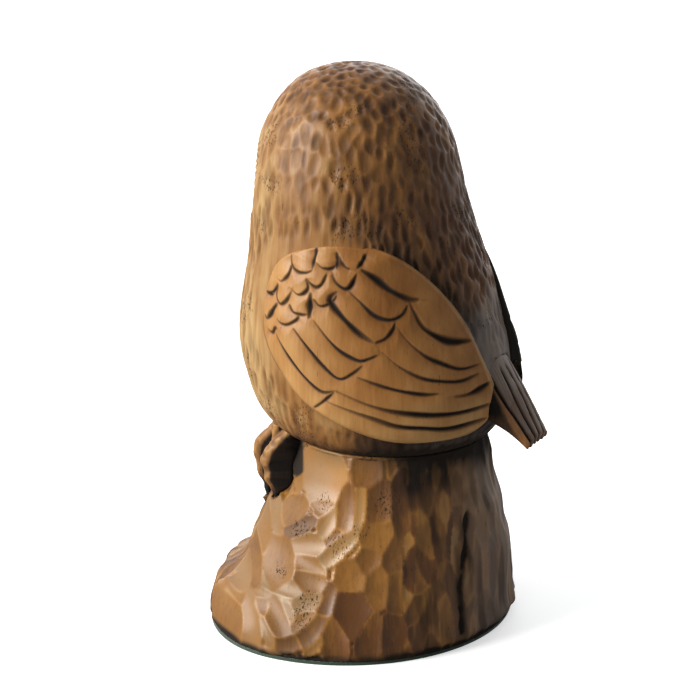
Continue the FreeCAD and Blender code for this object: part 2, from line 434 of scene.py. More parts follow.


# Each wood's pale, middle and deep colours along the carved tone, and the dark colour of the
# stain in its cuts and of the painted shade.
WOOD_COLOURS = {
    "body_wood": [(0.5, 0.31, 0.125), (0.3, 0.131, 0.03), (0.11, 0.041, 0.01), (0.022, 0.012, 0.006)],
    "wing_wood": [(0.55, 0.3, 0.1), (0.36, 0.155, 0.036), (0.19, 0.066, 0.008), (0.012, 0.008, 0.005)],
    "stump_wood": [(0.37, 0.23, 0.098), (0.41, 0.178, 0.028), (0.16, 0.056, 0.009), (0.016, 0.01, 0.006)],
    "tail_wood": [(0.56, 0.23, 0.06), (0.2, 0.09, 0.035), (0.08, 0.035, 0.012), (0.012, 0.008, 0.006)],
    "toe_wood": [(0.52, 0.3, 0.11), (0.31, 0.145, 0.04), (0.14, 0.06, 0.018), (0.01, 0.007, 0.005)],
    "beak_wood": [(0.3, 0.17, 0.06), (0.19, 0.095, 0.03), (0.1, 0.045, 0.015), (0.015, 0.01, 0.008)],
    "dowel_wood": [(0.7, 0.52, 0.34), (0.58, 0.4, 0.24), (0.45, 0.3, 0.18), (0.2, 0.12, 0.07)],
}
# How rough each wood is, and how much varnish lies on it.
PLAIN_FINISH = (0.48, 0.07)
WOOD_FINISH = {"stump_wood": (0.38, 0.4), "beak_wood": (0.4, 0.15), "dowel_wood": (0.7, 0)}
WOODS = {
    name: carved_wood(name, *colours, *WOOD_FINISH.get(name, PLAIN_FINISH))
    for name, colours in WOOD_COLOURS.items()
}


def felt_cloth():
    """Short green pile."""
    make = new_material("felt")
    pile = make.noise(2600, detail=4)
    patch = make.noise(90)
    colour = make.tones(
        make.maths("ADD", make.span(pile, 0.3, 0.7, 0, 0.8), make.span(patch, 0.3, 0.7, 0, 0.2)),
        [(0, (0.006, 0.024, 0.01)), (0.6, (0.016, 0.055, 0.024)), (1, (0.035, 0.095, 0.045))],
    )
    return make.finish(
        {
            "Base Color": colour,
            "Roughness": 0.95,
            "Normal": make.bump(pile, 0.0004, 0.9),
            "Sheen Weight": 0.4,
            "Sheen Roughness": 0.6,
        }
    )


# -------- wings
# The wing's outline in its drawing plane, as (u, z).
WING_OUTLINE = [
    (-25, 138), (-13, 142.5), (2, 143), (15, 138.5), (28, 128.5), (38.5, 115),
    (46, 99.5), (49.5, 87), (45, 79.5), (31, 76), (14, 76.5), (-4, 82),
    (-20, 91.5), (-30, 105), (-32.5, 119), (-30.5, 130),
]
WING_EDGE = smooth_line(WING_OUTLINE, closed=True)

THIN = (0.6, 0.6)  # half width and depth of a light V-cut
MIDDLE = (0.75, 0.8)
BROAD = (1.15, 1.2)

# The cuts between the feathers, drawn from the front towards the back as (u, z).
SCALE_CUTS = [
    (MIDDLE, [(-12.5, 142), (-13, 137.5), (-13.5, 134)]),
    (THIN, [(-21.5, 138.5), (-21, 135), (-18.5, 133), (-15.5, 133), (-13.5, 134)]),
    (THIN, [(-26, 129.5), (-24.5, 129), (-22, 131.5), (-21, 135.5)]),
    (MIDDLE, [(-31, 124.5), (-29, 124), (-27, 126), (-26, 128)]),
    (THIN, [
        (-26, 128), (-26.5, 124.5), (-25.5, 122),
        (-24, 121.5), (-22, 123.5), (-20.5, 126.5),
    ]),
    (THIN, [(-20.5, 127), (-18.5, 125.5), (-16.5, 126), (-15, 128), (-15.5, 131)]),
    (THIN, [(-15.5, 131), (-14, 129.5), (-12, 128.5), (-10, 130), (-8.5, 133.5)]),
    (MIDDLE, [(-5.5, 140.5), (-5, 137.5), (-5.2, 134.8)]),
    (THIN, [(-12, 136.5), (-10, 135), (-7, 135), (-5, 137)]),
    (THIN, [(-4.4, 139), (-3.5, 137), (-2, 135.5), (-0.5, 135)]),
    (MIDDLE, [(1.6, 135.4), (3.2, 137.2), (4.6, 140)]),
    (MIDDLE, [(-7, 134), (-5.5, 130.5), (-2.5, 128.5), (-0.5, 129.5), (1.5, 133.5)]),
    (THIN, [(-13, 124.5), (-11, 122.5), (-8.5, 123), (-6, 125), (-5, 127.5)]),
    (MIDDLE, [(-31, 116.5), (-30, 115.5), (-28, 118.5), (-26, 121.5)]),
    (THIN, [(-26, 116.5), (-24.5, 115), (-22, 115), (-19, 117), (-18, 119)]),
    (THIN, [(-21.5, 122), (-20, 119.5), (-17, 119), (-14.5, 119.5)]),
    (BROAD, [(-14, 126.5), (-14.5, 118)]),
    (THIN, [(-29.5, 112), (-28, 111), (-26.5, 113.5)]),
]
COVERT_CUTS = [
    (BROAD, [(-5, 127.5), (-7.5, 124.5), (-3.5, 119.5), (2.5, 114), (7.5, 111)]),
    (THIN, [(7.5, 111), (11, 112.5), (13.5, 115.5), (14.5, 118.5)]),
    (MIDDLE, [(-2, 128.5), (2.5, 124.5), (7.5, 120), (12.5, 118.5), (16.5, 120), (18.5, 123)]),
    (BROAD, [(3, 135), (8.5, 131.5), (13, 128), (19, 125), (22.5, 124.5)]),
    (BROAD, [(19, 124.5), (21, 120.5), (24, 115.5), (29, 112), (34, 110), (40.5, 109.5)]),
    (MIDDLE, [(-13, 117.5), (-8, 111.5), (-3.5, 107.5), (2, 105), (5, 105.5), (8.5, 107)]),
    (MIDDLE, [
        (-20, 114), (-15, 108), (-10, 102.5),
        (-4.5, 98.5), (0, 100.5), (3.5, 103.5),
    ]),
]
FLIGHT_CUTS = [
    (MIDDLE, [(-26.5, 111), (-22, 104), (-16, 97.5), (-10.5, 93.5), (-6, 94)]),
    (THIN, [(-13.5, 87), (-10, 90), (-6, 94)]),
    (MIDDLE, [
        (15, 116), (19.5, 110.5), (25, 106),
        (30, 103.5), (36.5, 101), (43, 101.5),
    ]),
    (MIDDLE, [(10, 108), (16, 103), (23.5, 99), (30.5, 97.5), (37, 97), (43, 98.5)]),
    (MIDDLE, [(1.5, 99.5), (8.5, 97), (16, 95), (24, 93.5), (29, 93.5)]),
    (BROAD, [(34.5, 92), (38.5, 92), (43, 93), (47.5, 95)]),
    (BROAD, [
        (-5, 94), (2.5, 91), (10.5, 88.5), (18.5, 87),
        (27.5, 86), (37, 86), (47.5, 87),
    ]),
    (BROAD, [
        (-9.5, 90.5), (-0.5, 87.5), (7.5, 85), (15, 82.5),
        (24, 81.5), (33.5, 80.5), (46, 82),
    ]),
]
LAP_WIDTH = 5  # below each cut the next feather rises again over this width
LAP_DEPTH = 0.75
FRONT_FADE = 10  # the panel runs out into the body over this width at its front
SEAT = 1.4  # how far the panel's hidden side is let into the body
LONG_REACH = 35  # cuts that end further back than this deepen towards their end
# Distances from the panel's edge over which something changes.
CUTS_END = (0.3, 1.5)
SOFT_CUTS_END = (0.5, 3.5)
EDGE_ROUNDING = (0.2, 1.4)
EDGE_DIP = (0, 1.6)
PAINTED_EDGE_HIGHLIGHT = (0.3, 1.3)
FAR_WING_SHADE = (3, 7)
# Heights, and places along u, over which the panel changes.
WING_FRONT = (6, 24)
FLIGHT_TOP = (84, 98)
SHOULDER = (108, 126)
WING_CREST = (134, 140)
CREST_END = (2, 14)
COVERTS = (96, 122)
LOWER_FEATHERS = (86, 98)
LOWEST_FEATHER = (80, 92)


def cut_feathers(u, z):
    """How deep the cuts between the feathers are, how dark, and how shaded the wood beside is."""
    depth, dark, shade = np.zeros((3, len(u)))
    reach = LAP_WIDTH + 1
    for number, ((half_width, deepest), route) in enumerate(SCALE_CUTS + COVERT_CUTS + FLIGHT_CUTS):
        line = smooth_line(route)
        near = (u > line[:, 0].min() - reach) & (u < line[:, 0].max() + reach)
        near &= (z > line[:, 1].min() - reach) & (z < line[:, 1].max() + reach)
        picked = np.flatnonzero(near)
        gap, along, side = line_distance(line, u[picked], z[picked])
        lean = 2.0 if route[-1][0] > LONG_REACH else 0.8 + 0.3 * (number % 3)
        heavy = np.sqrt(np.clip(np.sin(math.pi * along ** lean), 0, 1))
        taper = (0.4 + 0.75 * heavy) * (1 + 0.18 * np.sin(along * 11.0 + number * 1.7))
        wide = 1.12 * half_width * taper
        wall = np.where(side > 0, 0.8, 1.2) * wide
        vee = deepest * taper * np.clip(1 - gap / wall, 0, 1) ** 0.8
        lap = LAP_DEPTH * taper * np.clip(1 - gap / LAP_WIDTH, 0, 1) ** 2 * (side < 0)
        depth[picked] = np.maximum(depth[picked], np.maximum(vee, lap))
        paint = ramp(1 - gap / (1.15 * wide), 0, 0.8) * min(1, 0.5 + 0.6 * deepest)
        dark[picked] = np.maximum(dark[picked], paint * np.clip(0.35 + 0.75 * heavy, 0, 1))
        shade[picked] = np.maximum(shade[picked], lap / LAP_DEPTH)
    return depth, dark, shade


def make_wing(side):
    """A smooth raised panel with V-cuts between its feathers."""
    wing = Carving(side + "_wing_panel", side + "_wing", 0.34, rounds=5)
    x, y, z = wing.points.T
    u, _ = wing_plane(np.abs(x), y)
    skin, outward, height = above_skin("body", wing.points)
    edge_gap = line_distance(WING_EDGE, u, z)[0]
    raised = ramp(height, 0.3, 0.9)
    inner = ramp(edge_gap, *CUTS_END)
    depth, dark, shade = cut_feathers(u, z)

    front = ramp(-u, *WING_FRONT) * ramp(z, *FLIGHT_TOP) * (0.45 + 0.55 * ramp(z, *SHOULDER))
    soft = np.maximum(front, ramp(z, *WING_CREST) * fall(u, *CREST_END))
    depth *= 1 - soft * fall(edge_gap, *SOFT_CUTS_END)
    depth *= inner
    depth = depth + 0.3 * fall(edge_gap, *EDGE_ROUNDING) + 1.1 * soft * fall(edge_gap, *EDGE_DIP)
    thinned = soft * fall(edge_gap, 0, FRONT_FADE)
    new_height = height * (1 - 0.94 * thinned) - raised * depth - (1 - raised) * SEAT
    wing.points = skin + outward * new_height[:, None]

    # Painted shade on the panel's edge walls, and on the rear part of the far (right) wing.
    wall = ramp(height, 0.2, 0.5) * fall(edge_gap, 0, 0.9)
    wing.dark = np.maximum(raised * dark * (0.3 + 0.7 * inner), 0.35 * wall)
    if side == "right":
        wing.dark += 0.8 * fall(edge_gap, *FAR_WING_SHADE) * ramp(u, 16, 32)
    ripple = np.sin(u * 0.9 + z * 0.35) * 0.5 + np.sin(u * 0.31 - z * 0.5)
    # Painted highlight: a pale line along the panel's rear edge. Below each cut, shade is painted where
    # the next feather dips.
    rim = fall(edge_gap, *PAINTED_EDGE_HIGHLIGHT) * ramp(u, 5, 15)
    wing.tone = 0.52 + 0.04 * ripple + 0.35 * rim + 0.22 * ramp(-u, 0, 22) - 0.22 * shade
    wing.tone -= 0.24 * ramp(z, *COVERTS) * ramp(u, -12, 6)
    wing.tone += 0.14 * fall(z, *LOWER_FEATHERS) + 0.14 * fall(z, *LOWEST_FEATHER)
    wing.worn = 0.25 * patches(wing.points, 12, 5)
    wing.finish("wing_wood")


# -------- body
MARK_WIDTH = 3.3  # the short marks on the head
MARK_STRETCH = 2.2
STROKE_WIDTH = 2.6  # the longer strokes below it
STROKE_STRETCH = 4.2
MARK_DEPTH = 0.7
MARK_REACH = 0.62  # how far a mark's hollow reaches, in shares of its spacing
FILLET_REACH = 7
FILLET_RISE = 2.6
FILLET_LIMITS = (26, 20, 125)  # it lies nearer the middle, further back and lower than this
FILLET_TOP = (86, 96)
# Heights over which the body's surface changes.
HEAD_START = (146, 166)
BELLY_TOP = (132, 150)
CHEEK_START = (146, 156)
CHEEK_TOP = (174, 186)
SHADED_CROWN = (174, 196)
PALE_FACE_TOP = (150, 175)
RUMP_TOP = (106, 124)
WING_SHADOW = (98, 116)
LOWER_FRONT = (100, 120)
PLAIN_FOOT = (72, 86)
SHADED_FOOT = (70, 82)
UNDERSIDE = (76, 84)
# Distances behind the body's axis over which it changes.
RUMP_BACK = (34, 46)
SHADED_BACK = (10, 40)
TAIL_ROOT_SHADE = (38, 50)
UNDER_WING_SHADE_BACK = (10, 34)
# And distances in front of it.
BELLY_FRONT = (8, 26)
PALE_FRONT = (0, 24)
TAIL_ROOT = (12, 98)  # its half width and its height
FLANK = 20  # the body's sides lie further out than this, square to the wing's plane
# The facial disc's rings, as distances from the line of sight.
DISC_EDGE = (16.2, 17.6)
DISC_DEPTH = 9  # it reaches this far behind the eye's foremost point
RIM_RADIUS = 18.2
RIM_WIDTH = 1.3
BARB_START = (7.6, 9.5)
BARB_END = (13.5, 17)
BARBS = 17  # half as many as there are round a disc
BARB_CUT = 0.55
LID = (6.9, 8.6)


def carve_marks(piece, width, stretch, chance):
    """One layer of gouge marks: how deep each point is, each mark's own shade, and its ridge."""
    marks, gap, above = gouge_pattern(piece.points, width, stretch, chance)
    draw = np.random.RandomState(chance + 2)
    count = marks.max() + 1
    strength = draw.uniform(0.6, 1.25, count)[marks]
    tilt = draw.uniform(-0.3, 0.8, count)[marks]
    shade = draw.uniform(-1, 1, count)[marks]
    bowl = strength * np.clip(1 - (gap / MARK_REACH) ** 2, 0, 1) ** 1.3 * (1 + 1.2 * tilt * above)
    return bowl, shade, ramp(gap, 0.32, 0.62)


def tail_fillet(points):
    """How far the back swells to run smoothly into the tail."""
    x, y, z = points.T
    root_side, root_front, root_top = FILLET_LIMITS
    near = np.flatnonzero((np.abs(x) < root_side) & (y > root_front) & (z < root_top))
    on_tail = nearest_on("tail", points[near])[0]
    gap = np.linalg.norm(points[near] - on_tail, axis=1)
    top = ramp(z[near], *FILLET_TOP)
    share = gap / (FILLET_REACH * (1 - 0.6 * top))
    swell = np.zeros(len(z))
    swell[near] = FILLET_RISE * (1 - 0.8 * top) * np.clip(1 - share, 0, 1) ** 2
    return swell


def face_disc(points):
    """The facial discs, and in them the cuts of their rays, their raised rims and the lids."""
    crest, look, across = (np.array(part) for part in eye_frame("left"))
    from_eye = np.column_stack([np.abs(points[:, 0]), points[:, 1:]]) - crest / MM
    along = from_eye @ look
    radial = from_eye - along[:, None] * look
    radius = np.linalg.norm(radial, axis=1)
    ahead = along > -DISC_DEPTH
    angle = np.arctan2(radial[:, 2], radial @ across)
    ray = np.abs(np.sin(angle * BARBS + 0.5 * np.sin(radius * 0.9)))
    barb = (1 - ray) ** 1.5 * ramp(radius, *BARB_START) * fall(radius, *BARB_END)
    rim = ahead * np.exp(-((radius - RIM_RADIUS) / RIM_WIDTH) ** 2)
    return ahead * fall(radius, *DISC_EDGE), barb, rim, fall(radius, *LID)


def make_body():
    """The head and body, covered in small gouge marks that lengthen further down."""
    body = Carving("body_block", "body", 0.66)
    points = body.points
    x, y, z = points.T
    u, out = wing_plane(np.abs(x), y)
    edge_gap = line_distance(WING_EDGE, u, z)[0]
    disc, barb, rim, lid = face_disc(points)
    drift = patches(points, 14, 3) - 0.5

    marks = carve_marks(body, MARK_WIDTH, MARK_STRETCH, 13)
    strokes = carve_marks(body, STROKE_WIDTH, STROKE_STRETCH, 23)
    low = fall(z + 14.0 * drift, *HEAD_START)
    carved = (1 - low) * marks[0] + 0.85 * low * strokes[0]
    shade, ridge = ((1 - low) * mark + low * stroke for mark, stroke in zip(marks[1:], strokes[1:]))

    on_side = out > FLANK
    beside_wing = on_side * fall(edge_gap, 1.5, 6) * ramp(12.0 - u, 0, 20)
    belly = ramp(-y, *BELLY_FRONT) * fall(z, *BELLY_TOP)
    rump = ramp(y, *RUMP_BACK) * fall(z + 20.0 * drift, *RUMP_TOP)
    quiet = np.maximum.reduce(
        [0.85 * beside_wing, 0.12 * belly, 0.75 * fall(z, *PLAIN_FOOT), 0.7 * rump]
    )
    smooth_cheek = ramp(-u, 2, 14) * fall(z, *CHEEK_TOP) * ramp(z, *CHEEK_START)
    carved *= 1 - 0.5 * smooth_cheek
    carved = carved * (0.45 + 1.1 * patches(points, 17, 61)) * (1 + 0.5 * low)
    uneven = 0.35 * patches(points, 22, 9)
    body.depth = MARK_DEPTH * np.clip(carved * (1 - quiet) + uneven, 0, None)
    body.depth *= (1 - disc) * (1 - 0.8 * rim)
    body.depth += disc * BARB_CUT * barb
    body.depth -= tail_fillet(points)

    residue = ramp(patches(points, 9, 17), 0.5, 0.7)
    pocket = (1 - ridge) * (0.14 + 0.14 * low + 0.32 * residue * ramp(shade, -0.6, 0.6))
    behind = ramp(u, 2, 16) * ~inside(WING_EDGE, u, z)
    shadow = on_side * fall(edge_gap, 0, 8) * behind
    # foot is painted shade along the body's bottom, where it sits on the stump.
    foot = fall(z, PERCH_HEIGHT, PERCH_HEIGHT + 5)
    body.dark = pocket * (1 - quiet) + (0.15 + 0.45 * ramp(z, *WING_SHADOW)) * shadow + 0.6 * foot
    body.dark = np.maximum(body.dark * (1 - disc), disc * (BARB_CUT * barb + 0.6 * lid))
    streak = patches(points * np.array([1, 1, 0.16]), 2.6, 83) - 0.5
    body.dark += np.clip(0.9 * streak, 0, 0.4) * (1 - disc) * (1 - 0.6 * ramp(-y, 0, 20))
    # Painted shade on the back round the tail's root.
    root_half, root_height = TAIL_ROOT
    root_gap = np.hypot(np.clip(np.abs(x) - root_half, 0, None), np.clip(z - root_height, 0, None))
    body.dark += 0.1 * fall(root_gap, 2, 12) * ramp(y, *TAIL_ROOT_SHADE)
    # Painted shade on the underside below the wings, towards the back.
    body.dark += 0.6 * fall(z, *UNDERSIDE) * ramp(y, *UNDER_WING_SHADE_BACK)

    body.tone = 0.44 + (0.09 * shade + 0.11 * ridge) * (1 - quiet) + 0.2 * disc + 0.08 * quiet
    body.tone -= 0.5 * streak * (1 - disc)
    body.tone += 0.3 * ramp(-y, *PALE_FRONT) * (1 - 0.5 * ramp(z, *PALE_FACE_TOP))
    # Painted shade on the crown.
    body.tone -= 0.3 * ramp(z, *SHADED_CROWN)
    body.tone += 0.22 * ramp(-y, -6, 14) * fall(z, *LOWER_FRONT) * ramp(z, *UNDERSIDE)
    # Painted shade: darker low down above the stump, and on the back, away from the key light.
    body.tone -= 0.3 * fall(z, *SHADED_FOOT) + 0.4 * ramp(y, *SHADED_BACK)
    body.worn = ramp(patches(points, 11, 31), 0.52, 0.7) * (1 - disc)
    # Painted sheen on the rump: a grey reflection of the backdrop.
    body.painted_sheen = rump * (0.72 + 0.35 * np.clip(2.0 * streak + 0.5, 0, 1))
    body.finish("body_wood")


# -------- stump
# The larger facets gouged into the stump's side, seen square on in the wing's drawing plane, as
# (u, z, half length, half width, slant in degrees, tone).  A facet is as deep as the slope of its
# walls allows, and a wide one may have its depth as a last number that keeps it shallower.
FACETS = [
    (-10, 60, 11, 8.5, 85, 0.8, 1), (-19.5, 60, 9, 2.2, 88, 0.75), (-10, 51.5, 5.5, 4, 30, 0.55),
    (-21.5, 46, 8, 3.4, 45, 0.6), (-20, 41.5, 9.5, 3, 35, 0.35), (-27, 42, 9.5, 2.8, 100, 0.8),
    (-32, 38, 9, 2.8, 92, 0.7), (-17, 37, 9.5, 4, 20, 0.85), (-16, 31.5, 8, 4, -20, 0.65),
    (-14.5, 26.5, 6.5, 5, 0, 0.5), (-26, 30, 10, 6, 70, 0.6), (-24.5, 23.5, 10, 3.4, -5, 0.9),
    (-41, 22, 6.5, 5, 60, 0.8, 0.9), (-35, 26.5, 8, 3.2, 95, 0.5), (-43, 15, 6.5, 3.2, 20, 0.7),
    (-27, 19.5, 11, 2.2, 0, 0.75), (-31, 16.5, 7.5, 3.2, 20, 0.5), (-44.5, 8, 9, 6.5, 80, 0.7),
    (-36, 10, 9.5, 4.6, 92, 0.85), (-30.5, 9.5, 10, 2.2, -55, 0.9), (-26, 14.5, 7.5, 4.8, -60, 0.6),
    (-22.5, 16, 6.5, 3.2, -60, 0.9), (-15, 20.5, 8.5, 4, 25, 0.9), (-18, 14.5, 7.5, 3.4, 35, 0.6),
    (-9, 21.5, 6.5, 3.8, 70, 0.3), (-14, 11.5, 8.5, 4, 45, 0.45), (-11, 8, 8.5, 2.4, 45, 0.9),
    (-22.5, 6, 6.5, 3.6, 20, 0.5), (-6, 8, 9, 5.5, 95, 0.55, 1), (0.5, 18, 9.5, 7.5, 92, 0.2, 1),
    (0, 29, 6.5, 7, 90, 0.55, 0.9), (5.5, 34, 6.5, 5, 60, 0.45, 0.9),
    (8.5, 26.5, 8.5, 6, 85, 0.55, 0.9), (-5, 37.5, 10, 3.2, 42, 0.95), (-6.5, 42, 9, 2.6, 42, 0.35),
    (-8, 46.5, 9, 3.4, 65, 0.85), (-3, 51, 9.5, 4.6, 85, 0.4), (2.6, 52, 9, 3, 82, 1),
    (9, 53, 9.5, 5.5, 88, 0.4, 0.9), (9, 43, 7.5, 7, 90, 0.55, 0.8),
    (15, 36, 9.5, 5.5, 75, 0.35, 0.8), (15.5, 25, 10.5, 4.6, 95, 0.55),
    (5, 64.5, 7.5, 6, 88, 0.45, 0.8), (17.5, 50, 15.5, 4.6, 92, 0.3, 0.8),
    (24.5, 51, 16.5, 3.2, 88, 0.65), (30.5, 48, 18.5, 4.2, 93, 0.35),
    (23, 30, 13, 4.6, 88, 0.5, 0.7), (15, 9.5, 9.5, 5.5, 95, 0.5, 0.9),
    (6, 10, 9, 5.5, 85, 0.55, 0.9), (24.5, 11, 11, 5.5, 95, 0.4, 0.8), (31, 20, 16, 3.6, 86, 0.4),
    (37.5, 40, 26, 3.4, 92, 0.35), (38.5, 12, 12, 3.2, 92, 0.1), (44.5, 30, 26, 3.6, 98, 0.45),
    (46, 9, 11, 4, 98, 0.35), (54, 14, 15, 4, 103, 0.4),
]
CRACK = [(41, 52), (40, 37), (38.5, 20), (39, 6)]
PITTED = [
    (-10, 52, 5), (-19, 42, 5), (-15, 21, 6), (-18, 15, 6),
    (-5, 39, 7), (3, 44, 5), (12, 54, 8), (-26, 28, 4),
]
HOLLOW_FOOT = (-26, 48.2)  # u and z where the dark hollow beside the outer toe starts
FACET_RELIEF = 1.7  # millimetres of depth in a facet of depth 1
FACET_SLOPE = 0.62  # the steepest that a facet's side wall may get
UNCUT = 0.35  # scoops cut this much deeper than where they just touch the skin
STRAY_FACETS = 520
STUMP_CENTRE = 8  # how far behind the owl's axis the stump's middle lies
PLACED_END = 18  # the random facets also cover what lies further back than this
# Heights, and places along u, over which the stump changes.
STUMP_FRONT = (2, 18)
CALM_SIDE = (14, 34)
SHEEN_BACK = (30, 50)
UNDER_BODY_SHADE = (52, 66)
UNDER_BODY_SHADE_BACK = (4, 26)
SHADED_TOP = (62, PERCH_HEIGHT)
DARK_BOTTOM = (1.5, 4)
DEEP_BOTTOM = (8, 24)
TOE_HOLLOW = (47, 50)


class Scoops:
    """Shallow scoops cut over one another: the deepest one shows at each point."""

    def __init__(self, count):
        self.depth = np.full(count, -UNCUT)
        self.second = np.full(count, -UNCUT)
        self.tone = np.full(count, 0.45)

    def cut(self, picked, x, y, facet):
        """Cuts a facet at the picked points, whose places in the facet's drawing are x and y."""
        middle_x, middle_y, half_length, half_width, slant, shade, *depths = facet
        deepest = min([FACET_SLOPE * half_width / 2] + [FACET_RELIEF * depth for depth in depths])
        turn = math.radians(slant)
        along = (x - middle_x) * math.cos(turn) + (y - middle_y) * math.sin(turn)
        across = (y - middle_y) * math.cos(turn) - (x - middle_x) * math.sin(turn)
        spread = np.abs(along / half_length) ** 2.8 + np.abs(across / half_width) ** 2.2
        cut = deepest * (1 - spread)
        before = self.depth[picked]
        self.second[picked] = np.maximum(self.second[picked], np.minimum(cut, before))
        self.depth[picked] = np.maximum(cut, before)
        self.tone[picked[cut > before]] = shade

    def ridges(self):
        """1 where two scoops meet, and 0 away from there."""
        return fall(self.depth - self.second, 0, 0.3)


def stray_facet(chance):
    """One of the facets that are drawn at random: the way round the stump it lies, and its shape."""
    turn = chance.uniform(-math.pi, math.pi)
    height = chance.uniform(3, PERCH_HEIGHT - 1)
    at_back = max(0, math.sin(turn))
    half_length = chance.uniform(5, 11) * (1 + 0.8 * at_back)
    half_width = chance.uniform(2.6, 5.8)
    slant = chance.gauss(90, 30.0 * (1 - 0.75 * at_back))
    deepest = chance.uniform(0.4, 1.1)
    shade = min(1, max(0, chance.gauss(0.5, 0.22)))
    return turn, (0, height, half_length, half_width, slant, shade, deepest)


def scoop_stump(stump, seen, facing, seen_u):
    """The facets that are placed one by one, and random ones where those leave the wood bare."""
    x, y, z = stump.points.T
    scoops = Scoops(len(z))
    picked = np.flatnonzero(seen)
    for facet in FACETS:
        scoops.cut(picked, seen_u[picked], z[picked], facet)
    angle = np.arctan2(y - STUMP_CENTRE, x)
    girth = np.hypot(x, y - STUMP_CENTRE)
    open_wood = ~seen | (facing < 0.12) | (scoops.depth < 0) | (seen_u > PLACED_END)
    chance = random.Random(41)
    for _ in range(STRAY_FACETS):
        facet_turn, facet = stray_facet(chance)
        off = (angle - facet_turn + math.pi) % (2 * math.pi) - math.pi
        picked = np.flatnonzero((np.abs(off) < 0.9) & open_wood)
        scoops.cut(picked, off[picked] * girth[picked], z[picked], facet)
    return scoops


def toe_hollow_paint_and_shade(points):
    """1 in the dark hollow beside the outer toe: black paint and painted shade, where the stump's surface
    is not cut in.
    """
    x, y, z = points.T
    u = wing_plane(np.abs(x), y)[0]
    above_slope = z - (HOLLOW_FOOT[1] + 1.2 * (u - HOLLOW_FOOT[0]))
    beside = ramp(-u, 16.5, 18.5) * ramp(np.abs(x), 20, 25) * ramp(z, *TOE_HOLLOW)
    return beside * ramp(above_slope, 0, 1.6)


def make_stump():
    """The rough stump: large gouged facets all round, with lighter and darker ones."""
    stump = Carving("stump_block", "stump", 0.68, rounds=2)
    points = stump.points
    x, y, z = points.T
    seen_u, seen_out = wing_plane(x, y)
    facing = stump.normals @ np.array([math.cos(WING_TURN), math.sin(WING_TURN), 0])
    seen = (facing > 0) & (seen_out > 0)
    scoops = scoop_stump(stump, seen, facing, seen_u)
    ridge, relief, tone = (
        blurred(values, stump.edges, 1) for values in (scoops.ridges(), scoops.depth, scoops.tone)
    )
    crack_gap = line_distance(smooth_line(CRACK), seen_u, z)[0] + 2.0 * (patches(points, 5, 7) - 0.5)
    crack = seen * fall(crack_gap, 0.2, 1.1) * ramp(patches(points, 7, 91), 0.3, 0.5)
    calm = 1 - 0.35 * ramp(seen_u, *CALM_SIDE) * seen
    side = fall(np.abs(stump.normals[:, 2]), 0.75, 0.95)
    stump.depth = side * (np.clip(relief + UNCUT, 0, None) * calm + 0.9 * crack)

    # turned marks painted shade on the stump's back, away from the key light, with dark streaks in the
    # wood there.
    turned = ramp(y * 0.9 - x * 0.2, 8, 36)
    # Painted shade on the stump's top under the body, with a ragged lower edge.
    shade_edge = z + 14.0 * (patches(points, 9, 51) - 0.5)
    under_body_shade = ramp(shade_edge, *UNDER_BODY_SHADE) * ramp(seen_u, *UNDER_BODY_SHADE_BACK)
    top = ramp(z, *SHADED_TOP) * ramp(y, -2, 14)
    streak = patches(points * np.array([1, 1, 0.12]), 4, 2)
    glint = ridge * ramp(patches(points, 9, 77), 0.35, 0.65)
    stump.dark = 0.25 * (1 - glint) * (1 - tone) + 0.7 * fall(z, *DARK_BOTTOM)
    stump.dark += 0.58 * under_body_shade + 0.3 * top + 0.3 * ramp(-seen_u, *STUMP_FRONT) * (1 - 0.8 * glint)
    stump.dark += turned * (0.16 + 0.35 * ramp(streak, 0.5, 0.75)) + 0.6 * crack
    stump.dark += 0.3 * seen * fall(crack_gap, 0, 4)
    stump.dark = np.maximum(stump.dark, toe_hollow_paint_and_shade(points))
    stump.tone = 0.95 * tone - 0.08 - 0.1 * turned + 0.3 * glint - 0.26 * fall(z, *DEEP_BOTTOM)
    # Painted sheen on the stump's far side.
    stump.painted_sheen = 0.45 * ramp(seen_u, *SHEEN_BACK) * seen
    worn = 0.25 * patches(points, 8, 12)
    for middle_u, middle_z, reach in PITTED:
        gap = np.hypot(seen_u - middle_u, z - middle_z)
        worn = np.maximum(worn, seen * fall(gap, 0.4 * reach, reach))
    stump.worn = np.maximum(worn, 0.8 * ramp(patches(points, 9, 40), 0.6, 0.75) * ~seen)
    stump.finish("stump_wood")


# -------- tail, feet and beak
TAIL_SLANT = np.array([0, 0.78, 0.62])  # the direction that the tail's upper face looks in
TAIL_TOP = (107, 102.5)  # how far out that way the upper face is, at the root and at the tip
# The fan's half width at some shares of the way from its root to its tip.
FAN_PLACES = [0, 0.3, 0.6, 0.85, 1]
FAN_HALF_WIDTHS = [9, 13.5, 13.2, 11.5, 9.5]
FAN_CUTS = (-0.72, -0.36, 0, 0.36, 0.72)  # in shares of the half width
FAN_CUT_DEPTH = 1.1
FAN_CUT_WIDTH = 0.72


